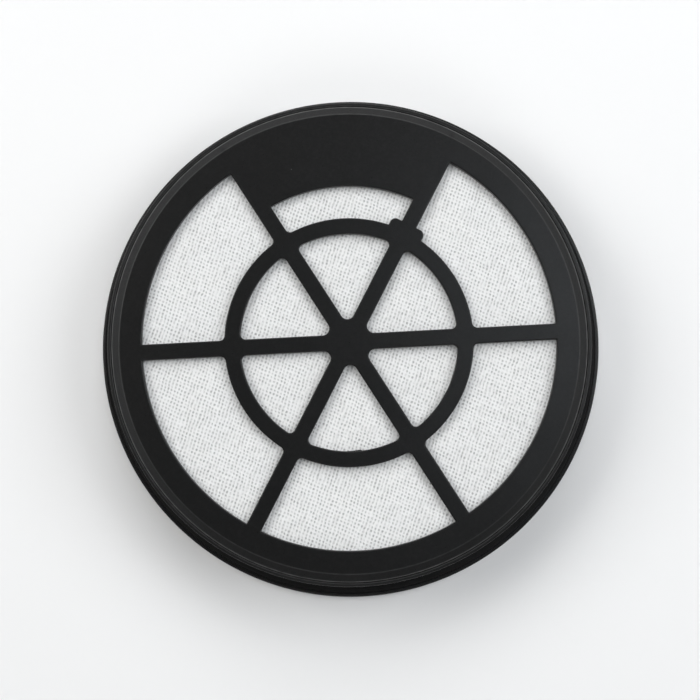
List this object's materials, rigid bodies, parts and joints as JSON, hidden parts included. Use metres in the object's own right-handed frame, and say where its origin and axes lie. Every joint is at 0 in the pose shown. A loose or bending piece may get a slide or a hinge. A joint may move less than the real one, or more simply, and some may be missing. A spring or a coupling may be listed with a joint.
{
  "type": "vacuum filter",
  "caption": "Round cassette filter of a vacuum cleaner: a black moulded grille with a closed segment over white cloth, in a flanged cup with a seal and pleated paper.",
  "frame": {"origin": "centre of the filter's rear face, which is the lowest face as it lies", "axes": "+Z along the filter's axis from the rear face to the grille, +Y towards the grille's closed segment, +X to the right seen from the grille side"},
  "size_m": [0.15, 0.15, 0.0275],
  "materials": {
    "grille_plastic": "satin moulded",
    "frame_plastic": "satin moulded",
    "cover_cloth": "point-bonded non-woven",
    "filter_paper": "pleated, matt",
    "hot_melt": "waxy",
    "potting": "cast",
    "seal_rubber": "matt"
  },
  "bodies": {
    "root": {"grille_cap": "grille_plastic", "cover_cloth": "cover_cloth", "pleat_pack": "filter_paper", "potting_ring": "potting", "rear_frame": "frame_plastic", "seal_ring": "seal_rubber", "spacer_bead_front_1": "hot_melt", "spacer_bead_front_2": "hot_melt", "spacer_bead_front_3": "hot_melt", "spacer_bead_front_4": "hot_melt", "spacer_bead_rear_1": "hot_melt", "spacer_bead_rear_2": "hot_melt", "spacer_bead_rear_3": "hot_melt", "spacer_bead_rear_4": "hot_melt"}
  },
  "joints": []
}
